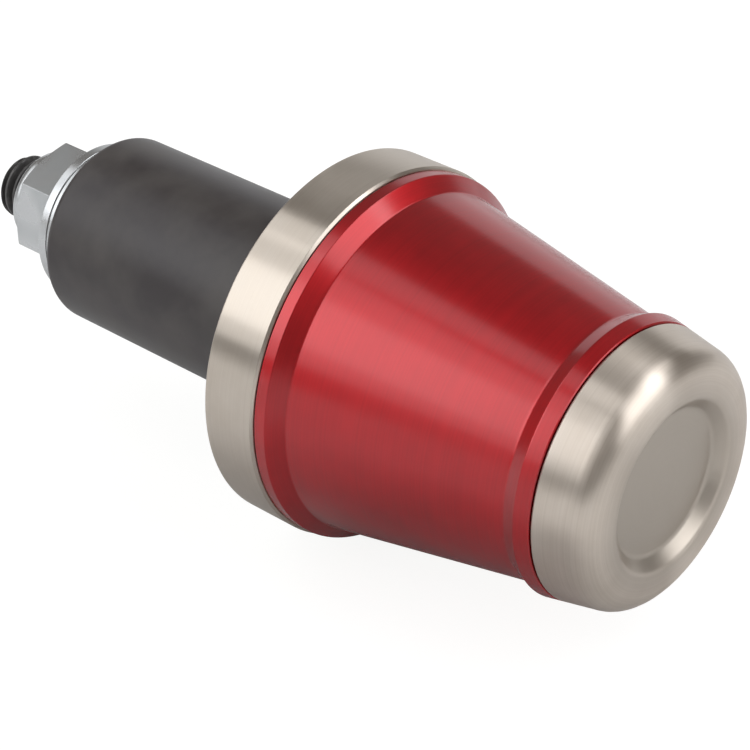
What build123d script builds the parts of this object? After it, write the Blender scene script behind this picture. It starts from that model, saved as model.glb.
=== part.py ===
from build123d import *

import os
from math import cos, pi, radians, tan

# Bar end weight for the hollow end of a motorcycle handlebar. A turned steel end weight carries
# a tapered sleeve and a flange ring on its spigot. A stud, a washer and a flange nut squeeze a
# rubber bush that grips the inside of the bar. Sizes are in millimetres. The axis is X, pointing
# out of the bar, Z is up, and the origin is on the axis at the flange ring's back face, which
# stops against the end of the bar.

# Flange ring
flange_diameter = 32.0
flange_thickness = 5.2
flange_edge = 0.2
bush_seat_depth = 0.8
spigot_seat_depth = 2.2

# Tapered sleeve: lip, bevel, long cone, flare and raised rim
sleeve_length = 24.0
lip_step = 0.25
lip_width = 1.15
bevel_drop = 1.15
bevel_width = 1.2
cone_small_diameter = 22.4
flare_rise = 0.55
flare_width = 1.35
rim_width = 1.35
sleeve_edge = 0.2

# End weight: cap with a dished end, and a spigot through the sleeve into the flange ring
cap_length = 4.8
end_taper = 11.2
cap_edge = 0.2
cap_round = 2.05
dish_land = 3.35
dish_depth = 1.0
dish_wall = 1.1
spigot_diameter = 14.0
spigot_chamfer = 0.5
drill_point_angle = 118.0

# M6 stud
stud_diameter = 6.0
stud_engagement = 12.0
stud_protrusion = 3.4
stud_chamfer = 0.6

# Rubber bush that swells against the inside of the bar
bush_diameter = 17.0
bush_length = 28.0
bush_back_edge = 0.6
bush_lead = 0.8

# Plain washer
washer_diameter = 14.0
washer_thickness = 1.35

# M6 hexagon locking nut with a flange and, at its free end, a round collar
nut_sides = 6
nut_across_flats = 10.0
nut_height = 7.85
nut_flange_diameter = 14.2
nut_flange_edge = 0.9
nut_flange_slope = 25.0
nut_collar_diameter = 8.8
nut_collar_length = 1.35
nut_collar_edge = 0.6
nut_corner_angle = 30.0
nut_turn = 20.5

# Fits
slip_clearance = 0.05
thread_clearance = 0.05
stud_clearance = 0.2
bush_seat_clearance = 0.1
spigot_end_clearance = 0.2
stud_end_clearance = 0.5
thread_mouth = 0.4
thread_mouth_angle = 90.0

# Radii that follow from the sizes above
flange_radius = flange_diameter / 2
lip_radius = flange_radius - lip_step
cone_large_radius = lip_radius - bevel_drop
cone_small_radius = cone_small_diameter / 2
rim_radius = cone_small_radius + flare_rise
joint_radius = rim_radius - rim_width * tan(radians(end_taper))
cap_end_radius = joint_radius - cap_length * tan(radians(end_taper))
dish_mouth_radius = cap_end_radius - dish_land
dish_floor_radius = dish_mouth_radius - dish_wall
spigot_radius = spigot_diameter / 2
spigot_seat_radius = spigot_radius + slip_clearance
stud_radius = stud_diameter / 2
tapped_radius = stud_radius + thread_clearance
stud_hole_radius = stud_radius + stud_clearance
bush_radius = bush_diameter / 2
washer_radius = washer_diameter / 2
nut_flange_radius = nut_flange_diameter / 2
nut_flat_radius = nut_across_flats / 2
nut_corner_radius = nut_flat_radius / cos(pi / nut_sides)
nut_collar_radius = nut_collar_diameter / 2
thread_mouth_radius = tapped_radius + thread_mouth

# Places along the axis, from the end of the stud to the crest of the cap
bush_front_x = bush_seat_depth
bush_back_x = bush_front_x - bush_length
washer_back_x = bush_back_x - washer_thickness
nut_flange_back_x = washer_back_x - nut_flange_edge
nut_slope_x = nut_flange_back_x - (nut_flange_radius - stud_radius) * tan(radians(nut_flange_slope))
nut_end_x = washer_back_x - nut_height
nut_collar_x = nut_end_x + nut_collar_length
nut_corner_x = nut_collar_x + (nut_corner_radius - nut_collar_radius) * tan(radians(nut_corner_angle))
stud_tip_x = nut_end_x - stud_protrusion
sleeve_back_x = flange_thickness
spigot_end_x = flange_thickness - spigot_seat_depth + spigot_end_clearance
stud_inner_x = spigot_end_x + stud_engagement
thread_start_x = spigot_end_x + thread_mouth / tan(radians(thread_mouth_angle / 2))
tapped_bottom_x = stud_inner_x + stud_end_clearance
drill_point_x = tapped_bottom_x + tapped_radius / tan(radians(drill_point_angle / 2))
lip_front_x = sleeve_back_x + lip_width
cone_back_x = lip_front_x + bevel_width
joint_x = sleeve_back_x + sleeve_length
rim_back_x = joint_x - rim_width
cone_front_x = rim_back_x - flare_width
crest_x = joint_x + cap_length
dish_floor_x = crest_x - dish_depth

# Flange ring: a disc with a shallow seat for the bush behind and one for the spigot in front
with BuildPart() as flange_ring:
    with BuildSketch(Plane.YZ):
        Circle(flange_radius)
    extrude(amount=flange_thickness)
    chamfer(flange_ring.edges().filter_by(GeomType.CIRCLE), flange_edge)
    with Locations(flange_ring.faces().sort_by(Axis.X)[-1]):
        CounterBoreHole(stud_hole_radius, spigot_seat_radius, spigot_seat_depth)
    with Locations(flange_ring.faces().sort_by(Axis.X)[0]):
        Hole(bush_radius + bush_seat_clearance, bush_seat_depth)

# Tapered sleeve: its back face sits on the flange ring and its front face on the cap
with BuildPart() as taper_sleeve:
    with BuildSketch(Plane.XY):
        with BuildLine():
            Polyline(
                (sleeve_back_x, spigot_seat_radius),
                (sleeve_back_x, lip_radius),
                (lip_front_x, lip_radius),
                (cone_back_x, cone_large_radius),
                (cone_front_x, cone_small_radius),
                (rim_back_x, rim_radius),
                (joint_x, joint_radius),
                (joint_x, spigot_seat_radius),
                close=True,
            )
        make_face()
    revolve(axis=Axis.X)
    end_rings = taper_sleeve.edges().filter_by(GeomType.CIRCLE).group_by(Axis.X)
    chamfer([end_rings[end].sort_by(SortBy.RADIUS)[-1] for end in (0, -1)], sleeve_edge)

# End weight: cap and spigot in one piece, with a dished end and a blind tapped hole for the stud
with BuildPart() as end_weight:
    with BuildSketch(Plane.XY):
        with BuildLine():
            FilletPolyline(
                (spigot_end_x, 0),
                (spigot_end_x, spigot_radius),
                (joint_x, spigot_radius),
                (joint_x, joint_radius),
                (crest_x, cap_end_radius),
                (crest_x, dish_mouth_radius),
                (dish_floor_x, dish_floor_radius),
                (dish_floor_x, 0),
                radius=(0, 0, 0, 0, cap_round, 0, 0, 0),
                close=True,
            )
        make_face()
    revolve(axis=Axis.X)
    cap_rim = end_weight.edges().filter_by(GeomType.CIRCLE).sort_by(SortBy.RADIUS)[-1]
    chamfer(cap_rim, cap_edge)
    spigot_rim = end_weight.edges().filter_by(GeomType.CIRCLE).sort_by(Axis.X)[0]
    chamfer(spigot_rim, spigot_chamfer)
    with BuildSketch(Plane.XY):
        with BuildLine():
            Polyline(
                (spigot_end_x, 0),
                (spigot_end_x, thread_mouth_radius),
                (thread_start_x, tapped_radius),
                (tapped_bottom_x, tapped_radius),
                (drill_point_x, 0),
                close=True,
            )
        make_face()
    revolve(axis=Axis.X, mode=Mode.SUBTRACT)

# Stud: from the bottom of the end weight's thread to just past the nut
with BuildPart() as stud:
    with BuildSketch(Plane.YZ.offset(stud_tip_x)):
        Circle(stud_radius)
    extrude(amount=stud_inner_x - stud_tip_x)
    chamfer(stud.edges().filter_by(GeomType.CIRCLE), stud_chamfer)

# Rubber bush: its chamfered front end sits in the flange ring's seat
with BuildPart() as expander_bush:
    with BuildSketch(Plane.YZ.offset(bush_back_x)):
        Circle(bush_radius)
        Circle(stud_hole_radius, mode=Mode.SUBTRACT)
    extrude(amount=bush_length)
    rims = expander_bush.edges().filter_by(GeomType.CIRCLE).sort_by(SortBy.RADIUS)[-2:]
    chamfer(rims.sort_by(Axis.X)[0], bush_back_edge)
    chamfer(rims.sort_by(Axis.X)[-1], bush_lead)

# Plain punched washer between the bush and the nut
with BuildPart() as washer:
    with BuildSketch(Plane.YZ.offset(washer_back_x)):
        Circle(washer_radius)
        Circle(stud_hole_radius, mode=Mode.SUBTRACT)
    extrude(amount=washer_thickness)

# Flange nut: a hexagon on a sloping flange, its free end turned to a round collar
with BuildPart() as flange_nut:
    with BuildSketch(Plane.YZ.offset(nut_end_x)):
        RegularPolygon(nut_flat_radius, nut_sides, major_radius=False, rotation=nut_turn)
    extrude(amount=nut_height)
    with BuildSketch(Plane.XY):
        with BuildLine():
            Polyline(
                (nut_end_x, 0),
                (nut_end_x, nut_collar_radius - nut_collar_edge),
                (nut_end_x + nut_collar_edge, nut_collar_radius),
                (nut_collar_x, nut_collar_radius),
                (nut_corner_x, nut_corner_radius),
                (washer_back_x, nut_corner_radius),
                (washer_back_x, 0),
                close=True,
            )
        make_face()
    revolve(axis=Axis.X, mode=Mode.INTERSECT)
    with BuildSketch(Plane.XY):
        with BuildLine():
            Polyline(
                (washer_back_x, 0),
                (washer_back_x, nut_flange_radius),
                (nut_flange_back_x, nut_flange_radius),
                (nut_slope_x, stud_radius),
                (nut_slope_x, 0),
                close=True,
            )
        make_face()
    revolve(axis=Axis.X)
    with Locations(flange_nut.faces().sort_by(Axis.X)[0]):
        CounterSinkHole(tapped_radius, thread_mouth_radius, counter_sink_angle=thread_mouth_angle)

os.makedirs("parts", exist_ok=True)
flange_ring.part.label = "flange_ring"
taper_sleeve.part.label = "taper_sleeve"
end_weight.part.label = "end_weight"
stud.part.label = "stud"
expander_bush.part.label = "expander_bush"
washer.part.label = "washer"
flange_nut.part.label = "flange_nut"
for piece in (flange_ring, taper_sleeve, end_weight, stud, expander_bush, washer, flange_nut):
    export_step(piece.part, f"parts/{piece.part.label}.step")
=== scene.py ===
from math import cos, hypot, pi, radians, sin, tan

import bmesh
import bpy
from bpy.props import FloatProperty, FloatVectorProperty, IntProperty, PointerProperty
from bpy.types import Operator, Panel, PropertyGroup
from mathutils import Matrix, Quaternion, Vector


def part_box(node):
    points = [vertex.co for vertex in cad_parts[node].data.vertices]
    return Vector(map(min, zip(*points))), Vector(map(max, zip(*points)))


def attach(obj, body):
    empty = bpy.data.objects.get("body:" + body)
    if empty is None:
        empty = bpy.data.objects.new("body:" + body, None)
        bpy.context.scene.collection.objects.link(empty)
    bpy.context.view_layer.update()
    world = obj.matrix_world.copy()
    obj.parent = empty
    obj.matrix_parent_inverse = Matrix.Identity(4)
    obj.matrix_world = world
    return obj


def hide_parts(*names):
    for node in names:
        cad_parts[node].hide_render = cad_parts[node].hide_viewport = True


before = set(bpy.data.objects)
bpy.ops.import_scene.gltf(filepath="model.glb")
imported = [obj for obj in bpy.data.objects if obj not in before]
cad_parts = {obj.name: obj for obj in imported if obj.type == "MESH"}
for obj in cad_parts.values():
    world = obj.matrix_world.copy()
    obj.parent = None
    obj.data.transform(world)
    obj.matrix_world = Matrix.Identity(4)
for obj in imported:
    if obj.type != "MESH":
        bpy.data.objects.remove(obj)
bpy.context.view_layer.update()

bl_info = {
    "name": "Bar end weight",
    "version": (1, 0, 0),
    "blender": (4, 5, 0),
    "location": "View3D > Sidebar > Bar end",
    "description": "Turned and moulded pieces, finishes and studio of a handlebar end weight",
    "category": "Object",
}

# The axis of the weight is X, pointing out of the handlebar, and Z is up. Lengths are in metres.
BODY = "root"
MM = 0.001

# Steps in the arc of a rounded corner
ARC_STEPS = 8
# Distance from an arc of the points that keep the shading of a straight run straight
SUPPORT = 0.08 * MM
# Angle from which an edge is shaded sharp
SHARP_EDGE = radians(32)
# Radius below which a ring is one point on the axis
ON_AXIS = 1e-9
# Colour sockets of a mix node, which share their names with its number sockets
COLOUR_A = 6
COLOUR_B = 7
# Rings and patches added up, from where a metal is darkest to where it is brightest
MARK_RANGE = (("From Min", 0.7), ("From Max", 1.3))
# Lamp power in watts for each square metre at a brightness of 1
LAMP_POWER = 4


def reach(node):
    """Back end, front end and outer radius of a turned piece, read from its box."""
    low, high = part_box(node)
    return low.x, high.x, high.y


FLANGE_BACK, FLANGE_FRONT, FLANGE_RADIUS = reach("flange_ring")
SLEEVE_BACK, SLEEVE_FRONT, LIP_RADIUS = reach("taper_sleeve")
SPIGOT_END, CREST, _ = reach("end_weight")
BUSH_BACK, BUSH_FRONT, BUSH_RADIUS = reach("expander_bush")
WASHER_BACK, WASHER_FRONT, WASHER_RADIUS = reach("washer")
NUT_END, NUT_SEAT, NUT_FLANGE_RADIUS = reach("flange_nut")
STUD_TIP, STUD_INNER, STUD_RADIUS = reach("stud")


def linear(code):
    """Linear colour of an sRGB hex code."""
    shares = [int(code[i:i + 2], 16) / 255 for i in (1, 3, 5)]
    return tuple(s / 12.92 if s <= 0.04045 else ((s + 0.055) / 1.055) ** 2.4 for s in shares)


def length(name, description, millimetres):
    """A size that a user can change, given in millimetres and held in metres."""
    return FloatProperty(name=name, description=description, default=millimetres * MM, unit="LENGTH",
                         precision=5)


def angle(name, description, degrees):
    """An angle that a user can change, given in degrees and held in radians."""
    return FloatProperty(name=name, description=description, default=radians(degrees), subtype="ANGLE")


def colour(name, description, code):
    """A colour that a user can change, given as an sRGB hex code."""
    return FloatVectorProperty(name=name, description=description, default=linear(code), subtype="COLOR",
                               min=0.0, max=1.0)


class BarEndSizes(PropertyGroup):
    """Sizes of the pieces that their boxes don't give."""

    segments: IntProperty(name="Segments", description="Steps around the axis", default=256, min=24)
    edge: length("Edge break", "Chamfer on the turned pieces' rims", 0.2)
    edge_round: length("Edge round", "Radius that takes the sharpness off a chamfer", 0.06)
    sleeve_edge: length("Sleeve edge break", "Chamfer on the sleeve's rims, beside the seam", 0.06)
    seam: length("Seam", "Fine gap left at the rim where the sleeve meets the steel pieces", 0.07)
    seam_depth: length("Seam depth", "How far the fine gap reaches inwards", 0.6)
    lip_width: length("Lip width", "Straight lip at the sleeve's large end", 1.15)
    bevel_width: length("Bevel width", "Length of the bevel behind the cone", 1.2)
    bevel_drop: length("Bevel drop", "Height of the bevel", 1.15)
    cone_small_radius: length("Cone end radius", "Radius of the cone at its small end", 11.2)
    flare_width: length("Flare width", "Length of the flare in front of the cone", 1.35)
    flare_rise: length("Flare rise", "Height of the flare", 0.55)
    rim_width: length("Rim width", "Length of the rim in front of the flare", 1.35)
    lip_round: length("Lip round", "Radius between lip and bevel", 0.15)
    bevel_round: length("Bevel round", "Radius between bevel and cone", 0.3)
    flare_round: length("Flare round", "Radius between cone and flare", 0.6)
    rim_round: length("Rim round", "Radius on the crest of the rim", 0.2)
    end_taper: angle("End taper", "Slope of the rim and the cap", 11.2)
    cap_round: length("Cap round", "Radius of the cap's outer edge", 2.05)
    dish_land: length("Dish land", "Width from the cap's tapered side to the dish", 3.35)
    crown_width: length("Crown width", "Width of the level part of the land beside the dish", 0.75)
    crown_round: length("Crown round", "Radius where the land starts to fall away", 6.0)
    crown_slope: angle("Crown slope", "Fall of the land towards the cap's outer edge", 5)
    dish_depth: length("Dish depth", "Depth of the dish in the cap", 1.0)
    dish_wall: length("Dish wall", "Width of the dish's sloping wall", 1.1)
    dish_round: length("Dish round", "Radius at the top and the foot of the dish's wall", 0.75)
    spigot_radius: length("Spigot radius", "Radius of the end weight's spigot", 7.0)
    spigot_chamfer: length("Spigot chamfer", "Lead on the end of the spigot", 0.5)
    spigot_seat: length("Spigot seat", "Depth of the flange ring's seat for the spigot", 2.2)
    bush_seat: length("Bush seat", "Depth of the flange ring's seat for the bush", 0.8)
    bush_round: length("Bush round", "Radius on the bush's back edge", 0.7)
    bush_lead: length("Bush lead", "Chamfer on the bush's front edge", 0.8)
    washer_round: length("Washer round", "Radius on the washer's punched edges", 0.05)
    nut_flats: length("Nut across flats", "Width of the hexagon across its flats", 10.0)
    nut_rim: length("Nut flange edge", "Thickness of the nut's flange at its edge", 0.9)
    nut_slope: angle("Nut flange slope", "Slope of the nut's flange", 25)
    nut_collar_radius: length("Nut collar radius", "Radius of the nut's round collar", 4.4)
    nut_collar_length: length("Nut collar length", "Length of the nut's round collar", 1.35)
    nut_collar_round: length("Nut collar round", "Radius on the end of the nut's collar", 0.8)
    nut_bevel: angle("Nut corner angle", "Angle of the turned corners", 30)
    nut_turn: angle("Nut turn", "Direction of a corner, from +Y towards +Z", 20.5)
    nut_round: length("Nut round", "Softness of the nut's edges", 0.12)
    pitch: length("Thread pitch", "Pitch of the M6 thread", 1.0)
    thread_depth: length("Thread depth", "Depth of the M6 thread", 0.613)
    stud_chamfer: length("Stud chamfer", "Chamfer on the ends of the stud", 0.6)
    slip: length("Slip clearance", "Radial clearance of the spigot", 0.05)
    thread_clearance: length("Thread clearance", "Radial clearance of the threaded holes", 0.05)
    stud_clearance: length("Stud clearance", "Radial clearance of the plain holes for the stud", 0.2)
    bush_clearance: length("Bush clearance", "Radial clearance of the bush's seat", 0.1)
    stud_gap: length("Stud gap", "Gap from the stud's inner end to the bottom of its thread", 0.5)
    thread_mouth: length("Thread mouth", "Countersink at the mouth of a threaded hole", 0.4)
    drill_point: angle("Drill point", "Angle of the drilled hole's pointed bottom", 118)


class BarEndFinishes(PropertyGroup):
    """Colours and surface sizes of the finishes."""

    steel: colour("Steel", "Turned stainless steel", "#CFC5B9")
    steel_dark: colour("Steel grooves", "Stainless steel in the deeper turning marks", "#C3B8AB")
    satin: colour("Satin steel", "Stainless steel rubbed down with a satin wheel", "#D6CBBF")
    satin_dark: colour("Satin steel grooves", "Satin stainless steel in the deeper marks", "#CABEB1")
    # Painted shade: colour the steel is painted towards the axis, over the end weight's face and in its
    # dish
    painted_dish_shade: colour("Faced steel", "Duller stainless steel where the facing cut ran slowly", "#B1A89D")
    red: colour("Red", "Dyed oxide on the sleeve", "#BD0F19")
    red_deep: colour("Red, thicker", "Dyed oxide where it lies thicker", "#AF0C16")
    red_edge: colour("Red, edge on", "Paler gloss of the dyed oxide seen edge on", "#CBBCBC")
    rubber: colour("Rubber", "Moulded rubber", "#2C2525")
    rubber_worn: colour("Rubber bloom", "Paler bloom on the rubber", "#46413E")
    zinc: colour("Zinc", "Zinc plating", "#CACBCB")
    zinc_dull: colour("Zinc, dull", "Duller patches of the zinc plating", "#BEC0C0")
    oxide: colour("Black oxide", "Oiled black oxide on the stud", "#464443")
    oxide_worn: colour("Black oxide, thin", "Black oxide where it is rubbed thin", "#686563")
    # Radii of the painted shade towards the axis: full inside the first, none outside the second
    dish_shade_inner: length("Slow facing radius", "Radius inside which the facing cut leaves dull steel", 6.0)
    dish_shade_outer: length("Fast facing radius", "Radius outside which the facing cut leaves bright steel", 9.0)
    ring_width: length("Turning mark width", "Width of the turning marks, drawn coarse", 0.16)
    ring_depth: length("Turning mark depth", "Depth of the turning marks", 0.02)
    patch_width: length("Patch width", "Width of the soft uneven patches on metal", 3.0)
    grain: length("Rubber grain", "Width of the rubber's moulded grain, drawn coarse", 0.35)
    grain_depth: length("Rubber grain depth", "Depth of the rubber's moulded grain", 0.02)
    mottle: length("Rubber mottle", "Width of the rubber's soft mottling", 4.5)
    mottle_depth: length("Rubber mottle depth", "Depth of the rubber's soft mottling", 0.05)
    rub: length("Oxide rub", "Width of the places where the black oxide is rubbed thin", 1.3)
    spangle: length("Zinc spangle", "Width of the plating's uneven patches", 2.5)


class BarEndStudio(PropertyGroup):
    """Camera, lights, surround and floor."""

    azimuth: angle("Azimuth", "Camera's turn from looking along +Y", 41.82)
    elevation: angle("Elevation", "Camera's height above the horizon", 31.96)
    distance: length("Distance", "From the camera to its target", 200.11)
    target: FloatVectorProperty(name="Target", description="Point in the middle of the picture",
                                default=(6.579 * MM, -3.112 * MM, 0.019 * MM), subtype="TRANSLATION",
                                unit="LENGTH")
    lens: FloatProperty(name="Lens", description="Focal length in millimetres on a 36 mm sensor",
                        default=119.27, unit="CAMERA")
    near_clip: length("Near clip", "Distance from which the camera sees", 10)
    lamp: colour("Lamp colour", "Cool white of the soft lights", "#F8FBFF")
    surround: colour("Surround colour", "Warm white of the mirrored surround", "#FFFAF5")
    glow: colour("Floor colour", "Pale light table that the weight is shown on", "#FCFCFB")
    floor_half: length("Floor half width", "Half the width of the light table", 1500)
    # Place and radii of a painted shadow: the floor seen in reflections is painted darker there
    shade_place: FloatVectorProperty(name="Shade place", description="Middle of the floor's shaded patch",
                                     default=(24 * MM, -16 * MM), size=2, unit="LENGTH")
    shade_inner: length("Shade inner radius", "Radius inside which the floor is fully shaded", 10)
    shade_outer: length("Shade outer radius", "Radius outside which the floor is not shaded", 42)


def along(first, second, distance):
    """Point at a distance from the first point, on the way to the second."""
    (ax, ar), (bx, br) = first, second
    share = distance / hypot(bx - ax, br - ar)
    return ax + (bx - ax) * share, ar + (br - ar) * share


def rounded(corners, closed):
    """Outline of (x, radius) points whose corners, given as (x, radius, round), are tangent arcs.

    A point close to each end of a straight run keeps the run's shading straight.
    """
    clear_run = 4 * SUPPORT
    count = len(corners)
    outline = []
    for i, (x, r, bend) in enumerate(corners):
        here = Vector((x, r))
        if not closed and i in (0, count - 1):
            outline.append(tuple(here))
            continue
        before = Vector(corners[i - 1][:2])
        after = Vector(corners[(i + 1) % count][:2])
        to_before = (before - here).normalized()
        to_after = (after - here).normalized()
        turn_angle = pi - to_before.angle(to_after)
        reach_back = bend * tan(turn_angle / 2)
        start = here + to_before * reach_back
        end = here + to_after * reach_back
        if (before - start).length > clear_run:
            outline.append(tuple(start + to_before * SUPPORT))
        if bend > 0:
            centre = here + (to_before + to_after).normalized() * (bend / cos(turn_angle / 2))
            first = start - centre
            sweep = first.angle_signed(end - centre)
            for step in range(ARC_STEPS + 1):
                a = -sweep * step / ARC_STEPS
                spoke = Vector((first.x * cos(a) - first.y * sin(a), first.x * sin(a) + first.y * cos(a)))
                outline.append(tuple(centre + spoke))
        else:
            outline.append(tuple(here))
        if (after - end).length > clear_run:
            outline.append(tuple(end + to_after * SUPPORT))
    return outline


def skin(name, rows, angles, closed):
    """Mesh object made of rings about the X axis, with a ring for each row of (x, radius).

    A radius may be a function of the angle. A row of no radius becomes one point on the axis. A closed skin
    joins its last row to its first.
    """
    shape = bmesh.new()
    rings = []
    for x, radius in rows:
        if not callable(radius) and radius < ON_AXIS:
            rings.append([shape.verts.new((x, 0.0, 0.0))])
            continue
        ring = []
        for a in angles:
            r = radius(a) if callable(radius) else radius
            ring.append(shape.verts.new((x, r * cos(a), r * sin(a))))
        rings.append(ring)
    pairs = list(zip(rings, rings[1:]))
    if closed:
        pairs.append((rings[-1], rings[0]))
    for one, two in pairs:
        for step in range(len(angles)):
            following = (step + 1) % len(angles)
            if len(one) == 1:
                shape.faces.new((one[0], two[step], two[following]))
            elif len(two) == 1:
                shape.faces.new((one[step], two[0], one[following]))
            else:
                shape.faces.new((one[step], two[step], two[following], one[following]))
    bmesh.ops.recalc_face_normals(shape, faces=shape.faces)
    mesh = bpy.data.meshes.new(name)
    shape.to_mesh(mesh)
    shape.free()
    mesh.shade_smooth()
    mesh.set_sharp_from_angle(angle=SHARP_EDGE)
    piece = bpy.data.objects.new(name, mesh)
    bpy.context.scene.collection.objects.link(piece)
    return piece


def even_angles(segments):
    """Angles evenly spaced around the axis."""
    return [2 * pi * step / segments for step in range(segments)]


def turned(name, corners, closed=True):
    """Lathe-turned piece with rounded corners."""
    sizes = bpy.context.scene.bar_end_sizes
    return skin(name, rounded(corners, closed), even_angles(sizes.segments), closed)


def place(piece, node, material):
    """Gives a piece its finish and lets it stand for its CAD node."""
    piece.data.materials.append(material)
    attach(piece, BODY)
    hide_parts(node)


def add(tree, kind, settings=(), links=()):
    """Adds a node; settings are (property or socket, value) pairs and links are (socket, source) pairs."""
    node = tree.nodes.new(kind)
    for key, value in settings:
        if isinstance(key, str) and hasattr(node, key):
            setattr(node, key, value)
        else:
            node.inputs[key].default_value = value
    for key, source in links:
        tree.links.new(source, node.inputs[key])
    return node


def new_material(name):
    """Material with an empty node tree, and its output node."""
    material = bpy.data.materials.new(name)
    material.use_nodes = True
    material.node_tree.nodes.clear()
    return material, material.node_tree, add(material.node_tree, "ShaderNodeOutputMaterial")


def opaque(colour_value):
    """Colour with full alpha, as colour sockets take it."""
    return (*colour_value, 1.0)


def turning_marks(tree, finish, detail, roughness):
    """Rings about the axis, the rings with soft patches added, and the distance from the axis.

    Real turning marks are too fine to show in the picture, so they are drawn coarser.
    """
    place_on = add(tree, "ShaderNodeTexCoord").outputs["Object"]
    parts = add(tree, "ShaderNodeSeparateXYZ", links=[("Vector", place_on)])
    across = add(tree, "ShaderNodeCombineXYZ", links=[("Y", parts.outputs["Y"]), ("Z", parts.outputs["Z"])])
    radius = add(tree, "ShaderNodeVectorMath", [("operation", "LENGTH")], [(0, across.outputs[0])])
    profile = add(tree, "ShaderNodeCombineXYZ",
                  links=[("X", parts.outputs["X"]), ("Y", radius.outputs["Value"])])
    rings = add(tree, "ShaderNodeTexNoise",
                [("noise_dimensions", "2D"), ("Scale", 1 / finish.ring_width), ("Detail", detail),
                 ("Roughness", roughness)],
                [("Vector", profile.outputs[0])])
    patches = add(tree, "ShaderNodeTexNoise", [("Scale", 1 / finish.patch_width), ("Detail", 2.0)],
                  [("Vector", place_on)])
    both = add(tree, "ShaderNodeMath", [("operation", "ADD")],
               [(0, rings.outputs["Fac"]), (1, patches.outputs["Fac"])])
    return rings.outputs["Fac"], both.outputs[0], radius.outputs["Value"]


def stainless_steel(finish, name, dark, bright, least_rough, most_rough, drawn_out):
    """Stainless steel from the lathe: warm satin grey, with rings that draw highlights out across them.

    Towards the axis, over the end weight's face and into its dish, the colour is painted darker: painted
    shade.
    """
    material, tree, output = new_material(name)
    rings, both, radius = turning_marks(tree, finish, detail=3.0, roughness=0.6)
    tone = add(tree, "ShaderNodeMapRange", MARK_RANGE, [("Value", both)])
    grey = add(tree, "ShaderNodeMix",
               [("data_type", "RGBA"), (COLOUR_A, opaque(dark)), (COLOUR_B, opaque(bright))],
               [("Factor", tone.outputs["Result"])])
    # Painted shade: the colour turns darker towards the axis, over the end weight's face and in its dish.
    shade_towards_axis = add(tree, "ShaderNodeMapRange",
                [("From Min", finish.dish_shade_inner), ("From Max", finish.dish_shade_outer)], [("Value", radius)])
    tint = add(tree, "ShaderNodeMix", [("data_type", "RGBA"), (COLOUR_A, opaque(finish.painted_dish_shade))],
               [("Factor", shade_towards_axis.outputs["Result"]), (COLOUR_B, grey.outputs["Result"])])
    satin = add(tree, "ShaderNodeMapRange",
                [*MARK_RANGE, ("To Min", least_rough), ("To Max", most_rough)], [("Value", both)])
    grooves = add(tree, "ShaderNodeBump", [("Strength", 0.07), ("Distance", finish.ring_depth)],
                  [("Height", rings)])
    # A quarter turn from the direction of the rings draws the highlights out across them.
    circle = add(tree, "ShaderNodeTangent", [("direction_type", "RADIAL"), ("axis", "X")])
    shader = add(tree, "ShaderNodeBsdfPrincipled",
                 [("Metallic", 1.0), ("Anisotropic", drawn_out), ("Anisotropic Rotation", 0.25)],
                 [("Base Color", tint.outputs["Result"]), ("Roughness", satin.outputs["Result"]),
                  ("Normal", grooves.outputs[0]), ("Tangent", circle.outputs[0])])
    tree.links.new(shader.outputs[0], output.inputs["Surface"])
    return material


def turned_steel(finish):
    """Flange ring: fine turning marks, so highlights stay crisp around the ring."""
    return stainless_steel(finish, "stainless_steel_turned", finish.steel_dark, finish.steel,
                           least_rough=0.28, most_rough=0.34, drawn_out=0.95)


def satin_steel(finish):
    """End weight: turned, then rubbed down with a satin wheel, so highlights are softer all round."""
    return stainless_steel(finish, "stainless_steel_satin", finish.satin_dark, finish.satin,
                           least_rough=0.33, most_rough=0.37, drawn_out=0.87)


def faced_steel(finish):
    """Dish of the end weight: faced with a slow cut, so it is duller and looks alike from every side."""
    # Its darker colour in the dish is the painted shade towards the axis.
    return stainless_steel(finish, "stainless_steel_faced", finish.satin_dark, finish.satin,
                           least_rough=0.36, most_rough=0.42, drawn_out=0.15)


def anodised_red(finish):
    """Aluminium anodised red after turning: metal seen through a dyed oxide, sealed clear on top."""
    material, tree, output = new_material("aluminium_anodised_red")
    rings, both, _ = turning_marks(tree, finish, detail=2.0, roughness=0.5)
    tone = add(tree, "ShaderNodeMapRange", MARK_RANGE, [("Value", both)])
    dye = add(tree, "ShaderNodeMix",
              [("data_type", "RGBA"), (COLOUR_A, opaque(finish.red_deep)), (COLOUR_B, opaque(finish.red))],
              [("Factor", tone.outputs["Result"])])
    satin = add(tree, "ShaderNodeMapRange", [*MARK_RANGE, ("To Min", 0.46), ("To Max", 0.50)],
                [("Value", both)])
    grooves = add(tree, "ShaderNodeBump", [("Strength", 0.04), ("Distance", finish.ring_depth)],
                  [("Height", rings)])
    shader = add(tree, "ShaderNodeBsdfPrincipled",
                 [("Metallic", 1.0), ("Specular Tint", opaque(finish.red_edge)),
                  ("Coat Weight", 1.0), ("Coat Roughness", 0.19), ("Coat IOR", 1.55)],
                 [("Base Color", dye.outputs["Result"]), ("Roughness", satin.outputs["Result"]),
                  ("Normal", grooves.outputs[0]), ("Coat Normal", grooves.outputs[0])])
    tree.links.new(shader.outputs[0], output.inputs["Surface"])
    return material


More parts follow.
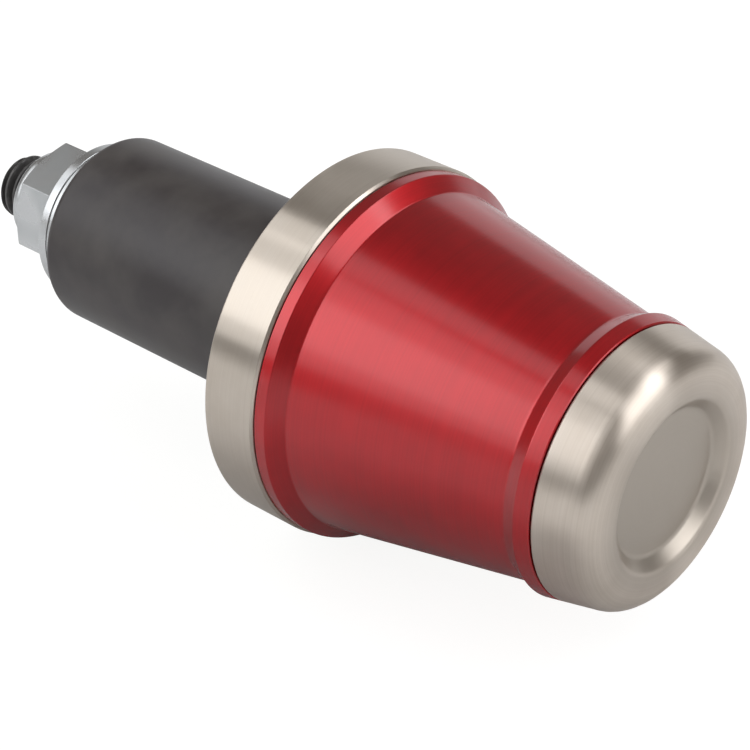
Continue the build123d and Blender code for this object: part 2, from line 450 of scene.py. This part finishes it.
def moulded_rubber(finish):
    """Moulded black rubber: matt charcoal with a fine grain and a faint uneven bloom.

    The real grain is too fine to show in the picture, so it is drawn coarser.
    """
    material, tree, output = new_material("rubber_moulded_black")
    place_on = add(tree, "ShaderNodeTexCoord").outputs["Object"]
    grain = add(tree, "ShaderNodeTexNoise", [("Scale", 1 / finish.grain), ("Detail", 4.0)],
                [("Vector", place_on)])
    mottle = add(tree, "ShaderNodeTexNoise", [("Scale", 1 / finish.mottle), ("Detail", 3.0)],
                 [("Vector", place_on)])
    bloom = add(tree, "ShaderNodeMapRange", [("From Min", 0.35), ("From Max", 0.7)],
                [("Value", mottle.outputs["Fac"])])
    tint = add(tree, "ShaderNodeMix",
               [("data_type", "RGBA"), (COLOUR_A, opaque(finish.rubber)),
                (COLOUR_B, opaque(finish.rubber_worn))],
               [("Factor", bloom.outputs["Result"])])
    matt = add(tree, "ShaderNodeMapRange",
               [("From Min", 0.3), ("From Max", 0.7), ("To Min", 0.38), ("To Max", 0.5)],
               [("Value", mottle.outputs["Fac"])])
    coarse = add(tree, "ShaderNodeBump", [("Strength", 0.25), ("Distance", finish.mottle_depth)],
                 [("Height", mottle.outputs["Fac"])])
    fine = add(tree, "ShaderNodeBump", [("Strength", 0.2), ("Distance", finish.grain_depth)],
               [("Height", grain.outputs["Fac"]), ("Normal", coarse.outputs[0])])
    shader = add(tree, "ShaderNodeBsdfPrincipled",
                 [("IOR", 1.52), ("Sheen Weight", 0.12), ("Sheen Roughness", 0.35)],
                 [("Base Color", tint.outputs["Result"]), ("Roughness", matt.outputs["Result"]),
                  ("Normal", fine.outputs[0])])
    tree.links.new(shader.outputs[0], output.inputs["Surface"])
    return material


def zinc_plated(finish):
    """Steel plated with zinc: pale neutral metal with soft duller patches."""
    material, tree, output = new_material("steel_zinc_plated")
    place_on = add(tree, "ShaderNodeTexCoord").outputs["Object"]
    spangle = add(tree, "ShaderNodeTexNoise", [("Scale", 1 / finish.spangle), ("Detail", 0.0)],
                  [("Vector", place_on)])
    tone = add(tree, "ShaderNodeMapRange", [("From Min", 0.35), ("From Max", 0.65)],
               [("Value", spangle.outputs["Fac"])])
    tint = add(tree, "ShaderNodeMix",
               [("data_type", "RGBA"), (COLOUR_A, opaque(finish.zinc_dull)),
                (COLOUR_B, opaque(finish.zinc))],
               [("Factor", tone.outputs["Result"])])
    satin = add(tree, "ShaderNodeMapRange",
                [("From Min", 0.35), ("From Max", 0.65), ("To Min", 0.33), ("To Max", 0.27)],
                [("Value", spangle.outputs["Fac"])])
    shader = add(tree, "ShaderNodeBsdfPrincipled", [("Metallic", 1.0)],
                 [("Base Color", tint.outputs["Result"]), ("Roughness", satin.outputs["Result"])])
    tree.links.new(shader.outputs[0], output.inputs["Surface"])
    return material


def black_oxide(finish):
    """Steel blackened and oiled: near black with a dull gleam, rubbed thin here and there."""
    material, tree, output = new_material("steel_black_oxide")
    place_on = add(tree, "ShaderNodeTexCoord").outputs["Object"]
    rub = add(tree, "ShaderNodeTexNoise", [("Scale", 1 / finish.rub), ("Detail", 3.0)],
              [("Vector", place_on)])
    thin = add(tree, "ShaderNodeMapRange", [("From Min", 0.5), ("From Max", 0.8)],
               [("Value", rub.outputs["Fac"])])
    tint = add(tree, "ShaderNodeMix",
               [("data_type", "RGBA"), (COLOUR_A, opaque(finish.oxide)),
                (COLOUR_B, opaque(finish.oxide_worn))],
               [("Factor", thin.outputs["Result"])])
    oily = add(tree, "ShaderNodeMapRange",
               [("From Min", 0.3), ("From Max", 0.7), ("To Min", 0.32), ("To Max", 0.48)],
               [("Value", rub.outputs["Fac"])])
    shader = add(tree, "ShaderNodeBsdfPrincipled", [("Metallic", 0.25)],
                 [("Base Color", tint.outputs["Result"]), ("Roughness", oily.outputs["Result"])])
    tree.links.new(shader.outputs[0], output.inputs["Surface"])
    return material


def shared(make):
    """The material that a function makes, made once and used by every piece of that finish."""
    scene = bpy.context.scene
    key = "finish_" + make.__name__
    material = bpy.data.materials.get(scene.get(key, ""))
    if material is None:
        material = make(scene.bar_end_finishes)
        scene[key] = material.name
    return material


def joint_corners(sizes):
    """The rim's crest and the corner where the sleeve meets the cap, on one slope."""
    rim_radius = sizes.cone_small_radius + sizes.flare_rise
    crest = (SLEEVE_FRONT - sizes.rim_width, rim_radius)
    joint = (SLEEVE_FRONT, rim_radius - sizes.rim_width * tan(sizes.end_taper))
    return crest, joint


class BAREND_OT_end_weight(Operator):
    """Turns the steel end weight: dished cap, spigot and blind threaded hole"""

    bl_idname = "barend.end_weight"
    bl_label = "End weight"

    def execute(self, context):
        s = context.scene.bar_end_sizes
        _, joint = joint_corners(s)
        end_radius = joint[1] - (CREST - joint[0]) * tan(s.end_taper)
        dish_mouth = end_radius - s.dish_land
        crown = dish_mouth + s.crown_width
        fall = (end_radius - crown) * tan(s.crown_slope) / (1 - tan(s.crown_slope) * tan(s.end_taper))
        side = (CREST - fall, end_radius + fall * tan(s.end_taper))
        dish_floor = CREST - s.dish_depth
        hole = STUD_RADIUS + s.thread_clearance
        hole_bottom = STUD_INNER + s.stud_gap
        corners = [
            (hole_bottom + hole / tan(s.drill_point / 2), 0, 0),
            (hole_bottom, hole, 0),
            (SPIGOT_END + s.thread_mouth, hole, 0),
            (SPIGOT_END, hole + s.thread_mouth, s.edge_round),
            (SPIGOT_END, s.spigot_radius - s.spigot_chamfer, s.edge_round),
            (SPIGOT_END + s.spigot_chamfer, s.spigot_radius, s.edge_round),
            (joint[0], s.spigot_radius, 0),
            (joint[0], joint[1] - s.edge, s.edge_round),
            (*along(joint, side, s.edge), s.edge_round),
            (*side, s.cap_round),
            (CREST, crown, s.crown_round),
            (CREST, dish_mouth, s.dish_round),
            (dish_floor, dish_mouth - s.dish_wall, s.dish_round),
            (dish_floor, 0, 0),
        ]
        piece = turned("end_weight_turned", corners, closed=False)
        place(piece, "end_weight", shared(satin_steel))
        # The dish has a finish of its own.
        piece.data.materials.append(shared(faced_steel))
        for face in piece.data.polygons:
            in_dish = face.center.x > joint[0] and hypot(face.center.y, face.center.z) < dish_mouth
            face.material_index = int(in_dish)
        return {"FINISHED"}


class BAREND_OT_taper_sleeve(Operator):
    """Turns the anodised sleeve: lip, bevel, cone, flare and rim"""

    bl_idname = "barend.taper_sleeve"
    bl_label = "Taper sleeve"

    def execute(self, context):
        s = context.scene.bar_end_sizes
        crest, joint = joint_corners(s)
        bore = s.spigot_radius + s.slip
        lip_front = SLEEVE_BACK + s.lip_width
        cone_back = (lip_front + s.bevel_width, LIP_RADIUS - s.bevel_drop)
        cone_front = (crest[0] - s.flare_width, s.cone_small_radius)
        corners = [
            (SLEEVE_BACK, bore, s.edge_round),
            (SLEEVE_BACK, LIP_RADIUS - s.seam_depth, 0),
            (SLEEVE_BACK + s.seam, LIP_RADIUS - s.seam_depth, 0),
            (SLEEVE_BACK + s.seam, LIP_RADIUS - s.sleeve_edge, 0),
            (SLEEVE_BACK + s.sleeve_edge + s.seam, LIP_RADIUS, 0),
            (lip_front, LIP_RADIUS, s.lip_round),
            (*cone_back, s.bevel_round),
            (*cone_front, s.flare_round),
            (*crest, s.rim_round),
            (*along(joint, crest, s.sleeve_edge + s.seam), 0),
            (joint[0] - s.seam, joint[1] - s.sleeve_edge, 0),
            (joint[0] - s.seam, joint[1] - s.seam_depth, 0),
            (joint[0], joint[1] - s.seam_depth, 0),
            (joint[0], bore, s.edge_round),
        ]
        piece = turned("taper_sleeve_turned", corners)
        place(piece, "taper_sleeve", shared(anodised_red))
        return {"FINISHED"}


class BAREND_OT_flange_ring(Operator):
    """Turns the steel flange ring with its seats for the spigot and the bush"""

    bl_idname = "barend.flange_ring"
    bl_label = "Flange ring"

    def execute(self, context):
        s = context.scene.bar_end_sizes
        bush_seat = FLANGE_BACK + s.bush_seat
        spigot_seat = FLANGE_FRONT - s.spigot_seat
        bush_wall = BUSH_RADIUS + s.bush_clearance
        spigot_wall = s.spigot_radius + s.slip
        stud_wall = STUD_RADIUS + s.stud_clearance
        corners = [
            (FLANGE_BACK, bush_wall, s.edge_round),
            (FLANGE_BACK, FLANGE_RADIUS - s.edge, s.edge_round),
            (FLANGE_BACK + s.edge, FLANGE_RADIUS, s.edge_round),
            (FLANGE_FRONT - s.edge, FLANGE_RADIUS, s.edge_round),
            (FLANGE_FRONT, FLANGE_RADIUS - s.edge, s.edge_round),
            (FLANGE_FRONT, spigot_wall, s.edge_round),
            (spigot_seat, spigot_wall, 0),
            (spigot_seat, stud_wall, s.edge_round),
            (bush_seat, stud_wall, s.edge_round),
            (bush_seat, bush_wall, 0),
        ]
        piece = turned("flange_ring_turned", corners)
        place(piece, "flange_ring", shared(turned_steel))
        return {"FINISHED"}


class BAREND_OT_expander_bush(Operator):
    """Makes the moulded rubber bush"""

    bl_idname = "barend.expander_bush"
    bl_label = "Expander bush"

    def execute(self, context):
        s = context.scene.bar_end_sizes
        bore = STUD_RADIUS + s.stud_clearance
        corners = [
            (BUSH_BACK, bore, s.edge),
            (BUSH_BACK, BUSH_RADIUS, s.bush_round),
            (BUSH_FRONT - s.bush_lead, BUSH_RADIUS, s.edge),
            (BUSH_FRONT, BUSH_RADIUS - s.bush_lead, s.edge),
            (BUSH_FRONT, bore, s.edge),
        ]
        piece = turned("expander_bush_moulded", corners)
        place(piece, "expander_bush", shared(moulded_rubber))
        return {"FINISHED"}


class BAREND_OT_washer(Operator):
    """Makes the punched washer"""

    bl_idname = "barend.washer"
    bl_label = "Washer"

    def execute(self, context):
        s = context.scene.bar_end_sizes
        bore = STUD_RADIUS + s.stud_clearance
        corners = [
            (WASHER_BACK, bore, s.edge_round),
            (WASHER_BACK, WASHER_RADIUS, s.washer_round),
            (WASHER_FRONT, WASHER_RADIUS, s.washer_round),
            (WASHER_FRONT, bore, s.edge_round),
        ]
        piece = turned("washer_punched", corners)
        place(piece, "washer", shared(zinc_plated))
        return {"FINISHED"}


class BAREND_OT_flange_nut(Operator):
    """Makes the hexagon nut with a sloping flange, turned corners and a round collar"""

    bl_idname = "barend.flange_nut"
    bl_label = "Flange nut"

    def execute(self, context):
        s = context.scene.bar_end_sizes
        flat = s.nut_flats / 2
        hole = STUD_RADIUS + s.thread_clearance
        collar_front = NUT_END + s.nut_collar_length
        collar_straight = NUT_END + s.nut_collar_round + s.nut_round
        rim_back = NUT_SEAT - s.nut_rim
        sides = 6
        side_angle = 2 * pi / sides
        sharpness = 600
        row_step = 0.03 * MM
        spare_rows = 2
        flat_steps = 14
        crowding = 1.8

        def hexagon(a):
            """Radius of the hexagon, whose corners are rounder the less the sharpness is."""
            facing = [max(0.0, cos(a - s.nut_turn - (i + 0.5) * side_angle)) for i in range(sides)]
            return flat / sum(f ** sharpness for f in facing) ** (1 / sharpness)

        def lesser(one, two):
            """The lesser of two radii, with a smooth change from one to the other."""
            blend = max(s.nut_round - abs(one - two), 0.0)
            return min(one, two) - blend * blend / (4 * s.nut_round)

        def greater(one, two):
            """The greater of two radii, with a smooth change from one to the other."""
            return -lesser(-one, -two)

        def outside(x):
            """Radius at a place along the axis, as a function of the angle."""
            corner = s.nut_collar_radius + (x - collar_front) / tan(s.nut_bevel)
            slope = NUT_FLANGE_RADIUS - (rim_back - x) / tan(s.nut_slope)
            turned_end = greater(corner, s.nut_collar_radius)
            return lambda a: greater(lesser(hexagon(a), turned_end), slope)

        face = rounded(
            [(NUT_END + s.thread_mouth, hole, 0), (NUT_END, hole + s.thread_mouth, s.edge_round),
             (NUT_END, s.nut_collar_radius, s.nut_collar_round), (collar_straight, s.nut_collar_radius, 0)],
            closed=False,
        )
        row_count = int((rim_back - collar_straight) / row_step) - spare_rows
        rim_lead = spare_rows * row_step
        places = [collar_straight + i * row_step for i in range(1, row_count)]
        body = [(x, outside(x)) for x in places]
        rim = rounded(
            [(rim_back - rim_lead, NUT_FLANGE_RADIUS - rim_lead / tan(s.nut_slope), 0),
             (rim_back, NUT_FLANGE_RADIUS, s.nut_round), (NUT_SEAT, NUT_FLANGE_RADIUS, s.nut_round),
             (NUT_SEAT, hole, s.edge_round), (NUT_SEAT - s.thread_mouth, hole, 0)],
            closed=False,
        )
        # Steps from a corner to the middle of a flat lie closest together at the corner.
        half = [side_angle / 2 * (i / flat_steps) ** crowding for i in range(flat_steps)]
        offsets = half + [side_angle / 2] + [side_angle - h for h in half[:0:-1]]
        angles = [s.nut_turn + i * side_angle + offset for i in range(sides) for offset in offsets]
        piece = skin("flange_nut_hexagon", face + body + rim, angles, closed=True)
        place(piece, "flange_nut", shared(zinc_plated))
        return {"FINISHED"}


class BAREND_OT_stud(Operator):
    """Makes the threaded stud"""

    bl_idname = "barend.stud"
    bl_label = "Stud"

    def execute(self, context):
        s = context.scene.bar_end_sizes
        rows_per_pitch = 14
        segments = 64
        root_share = 0.18
        flank_share = 0.66
        tip_radius = STUD_RADIUS - s.stud_chamfer

        def thread(x):
            """Radius at a place along the axis, as a function of the angle."""
            chamfer = tip_radius + min(x - STUD_TIP, STUD_INNER - x)

            def radius(a):
                turn = (x / s.pitch - a / (2 * pi)) % 1.0
                height = min(max((abs(2 * turn - 1) - root_share) / flank_share, 0.0), 1.0)
                return min(STUD_RADIUS - s.thread_depth * (1 - height * height * (3 - 2 * height)), chamfer)

            return radius

        count = round((STUD_INNER - STUD_TIP) / s.pitch * rows_per_pitch)
        places = [STUD_TIP + (STUD_INNER - STUD_TIP) * i / count for i in range(count + 1)]
        rows = [(STUD_TIP, 0), *((x, thread(x)) for x in places), (STUD_INNER, 0)]
        piece = skin("stud_threaded", rows, even_angles(segments), closed=False)
        place(piece, "stud", shared(black_oxide))
        return {"FINISHED"}


# Soft lights: name, then azimuth, elevation and roll in degrees, then distance, width and height in metres,
# then brightness
SOFT_LIGHTS = (
    ("left_soft_light", -32.5, 36.5, 16, 0.50, 0.52, 0.52, 1.05),
    ("left_soft_centre", -32.5, 33.5, 16, 0.45, 0.34, 0.24, 0.85),
    ("left_low_light", -4, 2, 0, 0.48, 0.17, 0.16, 0.42),
    ("left_strip_light", -70, 62, 62, 0.50, 0.50, 0.13, 0.92),
    ("right_soft_light", 105, 38, 0, 0.50, 0.37, 0.56, 1.72),
    ("top_soft_light", 145, 57, 0, 0.50, 0.28, 0.22, 1.40),
    ("back_soft_light", -152, 4, 0, 0.50, 0.70, 0.44, 0.54),
)

# Brightness of the mirrored surround, from straight down (0) over the horizon (0.5) to straight up (1)
SURROUND_GRADES = (
    (0.0, 0.60),
    (0.49, 0.60),
    (0.51, 0.22),
    (0.60, 0.20),
    (0.75, 0.24),
    (0.90, 0.24),
    (1.0, 0.20),
)


def direction(azimuth, elevation):
    """Unit vector at a turn from -Y towards +X and a height above the horizon."""
    level = cos(elevation)
    return Vector((sin(azimuth) * level, -cos(azimuth) * level, sin(elevation)))


def soft_light(name, azimuth, elevation, roll, distance, width, height, radiance):
    """Oblong soft light that faces the weight from a direction."""
    towards = direction(radians(azimuth), radians(elevation))
    spin = Quaternion((0, 0, 1), radians(roll))
    lamp = bpy.data.lights.new(name, "AREA")
    lamp.shape = "RECTANGLE"
    lamp.size = width
    lamp.size_y = height
    lamp.color = bpy.context.scene.bar_end_studio.lamp
    lamp.energy = LAMP_POWER * radiance * width * height
    holder = bpy.data.objects.new(name, lamp)
    holder.location = towards * distance
    holder.rotation_euler = (towards.to_track_quat("Z", "Y") @ spin).to_euler()
    holder.visible_camera = False
    bpy.context.scene.collection.objects.link(holder)


def studio_world():
    """Even surround that is white to the eye and softly graded where it is mirrored."""
    studio = bpy.context.scene.bar_end_studio
    world = bpy.data.worlds.new("studio")
    world.use_nodes = True
    tree = world.node_tree
    tree.nodes.clear()
    output = add(tree, "ShaderNodeOutputWorld")
    looking = add(tree, "ShaderNodeTexCoord").outputs["Generated"]
    height = add(tree, "ShaderNodeSeparateXYZ", links=[("Vector", looking)])
    share = add(tree, "ShaderNodeMapRange", [("From Min", -1.0), ("From Max", 1.0)],
                [("Value", height.outputs["Z"])])
    ramp = add(tree, "ShaderNodeValToRGB", links=[("Fac", share.outputs["Result"])])
    # A new ramp has its first and its last grade.
    grades = ramp.color_ramp.elements
    for position, _ in SURROUND_GRADES[1:-1]:
        grades.new(position)
    for grade, (_, level) in zip(grades, SURROUND_GRADES):
        grade.color = opaque(tuple(level * part for part in studio.surround))
    mirrored = add(tree, "ShaderNodeBackground", links=[("Color", ramp.outputs["Color"])])
    seen = add(tree, "ShaderNodeBackground", [("Color", opaque(studio.glow))])
    path = add(tree, "ShaderNodeLightPath")
    either = add(tree, "ShaderNodeMixShader",
                 links=[(0, path.outputs["Is Camera Ray"]), (1, mirrored.outputs[0]), (2, seen.outputs[0])])
    tree.links.new(either.outputs[0], output.inputs["Surface"])
    bpy.context.scene.world = world


def light_table():
    """Floor: a pale light table under the flange's lowest point, so that shadows stay faint.

    Where it is mirrored it doesn't glow, and a soft patch of it under the weight is painted darker: a
    painted shadow.
    """
    studio = bpy.context.scene.bar_end_studio
    half = studio.floor_half
    level = -FLANGE_RADIUS
    diffuse_share = 0.16
    mesh = bpy.data.meshes.new("light_table")
    corners = [(-half, -half, level), (half, -half, level), (half, half, level), (-half, half, level)]
    mesh.from_pydata(corners, [], [(0, 1, 2, 3)])
    floor = bpy.data.objects.new("light_table", mesh)
    bpy.context.scene.collection.objects.link(floor)
    material, tree, output = new_material("acrylic_light_table")
    seen = add(tree, "ShaderNodeBsdfPrincipled",
               [("Base Color", opaque(tuple(diffuse_share * part for part in studio.glow))),
                ("Roughness", 0.8), ("Emission Color", opaque(studio.glow)), ("Emission Strength", 0.93)])
    place_on = add(tree, "ShaderNodeTexCoord").outputs["Object"]
    # Painted shadow: the mirrored floor turns darker towards the shade place, under the weight.
    away = add(tree, "ShaderNodeVectorMath",
               [("operation", "DISTANCE"), (1, (*studio.shade_place, level))], [(0, place_on)])
    painted_shadow = add(tree, "ShaderNodeMapRange",
                   [("interpolation_type", "SMOOTHSTEP"), ("From Min", studio.shade_inner),
                    ("From Max", studio.shade_outer), ("To Min", 0.48), ("To Max", 0.87)],
                   [("Value", away.outputs["Value"])])
    mirrored = add(tree, "ShaderNodeBsdfPrincipled", [("Roughness", 0.8)],
                   [("Base Color", painted_shadow.outputs["Result"])])
    path = add(tree, "ShaderNodeLightPath")
    either = add(tree, "ShaderNodeMixShader",
                 links=[(0, path.outputs["Is Camera Ray"]), (1, mirrored.outputs[0]), (2, seen.outputs[0])])
    tree.links.new(either.outputs[0], output.inputs["Surface"])
    material.cycles.emission_sampling = "NONE"
    mesh.materials.append(material)


class BAREND_OT_studio(Operator):
    """Sets the camera, the soft lights, the surround and the pale floor"""

    bl_idname = "barend.studio"
    bl_label = "Studio"

    def execute(self, context):
        studio = context.scene.bar_end_studio
        light_table()
        studio_world()
        for light in SOFT_LIGHTS:
            soft_light(*light)
        back = direction(studio.azimuth, studio.elevation)
        camera = bpy.data.objects.new("camera", bpy.data.cameras.new("camera"))
        camera.data.lens = studio.lens
        camera.data.clip_start = studio.near_clip
        camera.location = Vector(studio.target) + back * studio.distance
        camera.rotation_euler = back.to_track_quat("Z", "Y").to_euler()
        context.scene.collection.objects.link(camera)
        context.scene.camera = camera
        context.scene.view_settings.view_transform = "Standard"
        return {"FINISHED"}


class BAREND_PT_panel(Panel):
    """Lists the pieces of the bar end weight and their sizes"""

    bl_idname = "BAREND_PT_panel"
    bl_label = "Bar end weight"
    bl_space_type = "VIEW_3D"
    bl_region_type = "UI"
    bl_category = "Bar end"

    def draw(self, context):
        for operator in OPERATORS:
            self.layout.operator(operator.bl_idname)
        for group in GROUPS:
            settings = getattr(context.scene, group)
            for name in settings.__annotations__:
                self.layout.prop(settings, name)


OPERATORS = (
    BAREND_OT_end_weight,
    BAREND_OT_taper_sleeve,
    BAREND_OT_flange_ring,
    BAREND_OT_expander_bush,
    BAREND_OT_washer,
    BAREND_OT_flange_nut,
    BAREND_OT_stud,
    BAREND_OT_studio,
)
GROUPS = {
    "bar_end_sizes": BarEndSizes,
    "bar_end_finishes": BarEndFinishes,
    "bar_end_studio": BarEndStudio,
}
CLASSES = (*GROUPS.values(), *OPERATORS, BAREND_PT_panel)


def register():
    """Registers the classes and hangs the settings on the scene."""
    for cls in CLASSES:
        bpy.utils.register_class(cls)
    for name, group in GROUPS.items():
        setattr(bpy.types.Scene, name, PointerProperty(type=group))


def unregister():
    """Takes the settings off the scene and removes the classes."""
    for name in GROUPS:
        delattr(bpy.types.Scene, name)
    for cls in reversed(CLASSES):
        bpy.utils.unregister_class(cls)


def main():
    """Makes every piece and the studio."""
    register()
    bpy.ops.barend.end_weight()
    bpy.ops.barend.taper_sleeve()
    bpy.ops.barend.flange_ring()
    bpy.ops.barend.expander_bush()
    bpy.ops.barend.washer()
    bpy.ops.barend.flange_nut()
    bpy.ops.barend.stud()
    bpy.ops.barend.studio()


if __name__ == "__main__":
    main()
